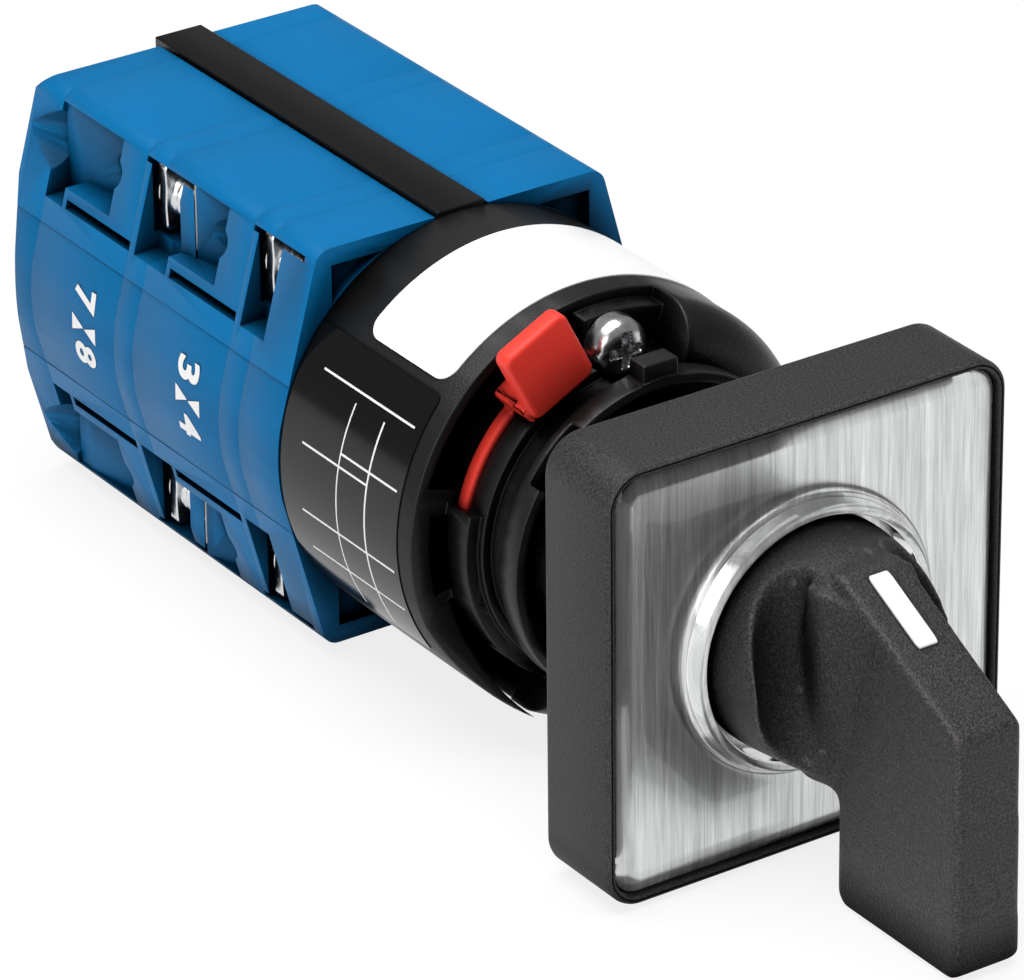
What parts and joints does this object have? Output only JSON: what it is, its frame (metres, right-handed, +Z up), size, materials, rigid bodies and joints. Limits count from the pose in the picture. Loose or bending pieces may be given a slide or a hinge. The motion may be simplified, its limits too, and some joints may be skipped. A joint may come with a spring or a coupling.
{
  "type": "changeover_switch",
  "caption": "Panel-mounted rotary changeover switch: square escutcheon with finger-grip handle, round adapter with a red locking lever, and a blue block of cam contacts with screw terminals",
  "frame": {"origin": "centre of the escutcheon's rear face, on the axis of the handle, where the face seats on the panel", "axes": "+X to the right as seen from the front, +Y to the rear along the switch's axis, +Z up"},
  "size_m": [0.03, 0.0912, 0.0311],
  "materials": {
    "bezel_black": "fine-grained moulded plastic",
    "handle_grey": "grained moulded plastic, dark warm grey",
    "adapter_black": "smooth moulded plastic with a soft sheen",
    "block_blue": "satin moulded plastic",
    "lever_red": "satin moulded plastic",
    "nylon_natural": "natural nylon, satin",
    "legend_aluminium": "vertically brushed",
    "clear_window": "clear polished acrylic",
    "seal_rubber": "matt elastomer",
    "mark_white": "white inlay",
    "label_white": "white film, satin",
    "label_black": "black film, glossy",
    "zinc_steel": "zinc plated, slightly grainy",
    "spring_steel": "drawn wire",
    "contact_brass": "bare stamped brass"
  },
  "bodies": {
    "frame": {"bezel": "bezel_black", "legend_plate": "legend_aluminium", "window": "clear_window", "panel_seal": "seal_rubber", "adapter": "adapter_black", "adapter_screws": "zinc_steel", "rating_label": "label_white", "data_label": "label_black", "detent_rollers": "zinc_steel", "detent_slides": "nylon_natural", "detent_springs": "spring_steel", "front_plate": "block_blue", "front_separator": "block_blue", "front_stage": "block_blue", "rear_separator": "block_blue", "rear_stage": "block_blue", "rear_cover": "block_blue", "top_strap": "adapter_black", "bottom_strap": "adapter_black", "front_right_spring": "spring_steel", "front_left_spring": "spring_steel", "rear_right_spring": "spring_steel", "rear_left_spring": "spring_steel", "terminal_1": "contact_brass", "terminal_2": "contact_brass", "terminal_3": "contact_brass", "terminal_4": "contact_brass", "terminal_5": "contact_brass", "terminal_6": "contact_brass", "terminal_7": "contact_brass", "terminal_8": "contact_brass", "terminal_screws": "zinc_steel", "clamp_washers": "zinc_steel"},
    "rotor": {"handle": "handle_grey", "handle_mark": "mark_white", "handle_clip": "zinc_steel", "coupling_shaft": "zinc_steel", "drive_shaft": "nylon_natural", "detent_wheel": "nylon_natural", "front_cam": "nylon_natural", "rear_cam": "nylon_natural"},
    "lever": {"lock_lever": "lever_red"},
    "front_right_contact": {"front_right_plunger": "nylon_natural", "front_right_bridge": "contact_brass"},
    "front_left_contact": {"front_left_plunger": "nylon_natural", "front_left_bridge": "contact_brass"},
    "rear_right_contact": {"rear_right_plunger": "nylon_natural", "rear_right_bridge": "contact_brass"},
    "rear_left_contact": {"rear_left_plunger": "nylon_natural", "rear_left_bridge": "contact_brass"}
  },
  "joints": [
    {"name": "handle_turn", "type": "hinge", "parent": "frame", "child": "rotor", "pos_m": [0, 0, 0], "axis": [0, 1, 0], "range_deg": [-60, 60]},
    {"name": "lever_turn", "type": "hinge", "parent": "frame", "child": "lever", "pos_m": [0, 0, 0], "axis": [0, 1, 0], "range_deg": [-30, 0]},
    {"name": "front_right_slide", "type": "slide", "parent": "frame", "child": "front_right_contact", "axis": [1, 0, 0], "range_m": [-0.0008, 0.0008], "deforming": ["front_right_spring"]},
    {"name": "front_left_slide", "type": "slide", "parent": "frame", "child": "front_left_contact", "axis": [1, 0, 0], "range_m": [-0.0008, 0.0008], "deforming": ["front_left_spring"]},
    {"name": "rear_right_slide", "type": "slide", "parent": "frame", "child": "rear_right_contact", "axis": [1, 0, 0], "range_m": [-0.0008, 0.0008], "deforming": ["rear_right_spring"]},
    {"name": "rear_left_slide", "type": "slide", "parent": "frame", "child": "rear_left_contact", "axis": [1, 0, 0], "range_m": [-0.0008, 0.0008], "deforming": ["rear_left_spring"]}
  ],
  "couplings": [
    {"joint": "front_right_slide", "follows": "handle_turn", "m_per_rad": 0.00076394},
    {"joint": "front_left_slide", "follows": "handle_turn", "m_per_rad": 0.00076394},
    {"joint": "rear_right_slide", "follows": "handle_turn", "m_per_rad": 0.00076394},
    {"joint": "rear_left_slide", "follows": "handle_turn", "m_per_rad": 0.00076394}
  ]
}
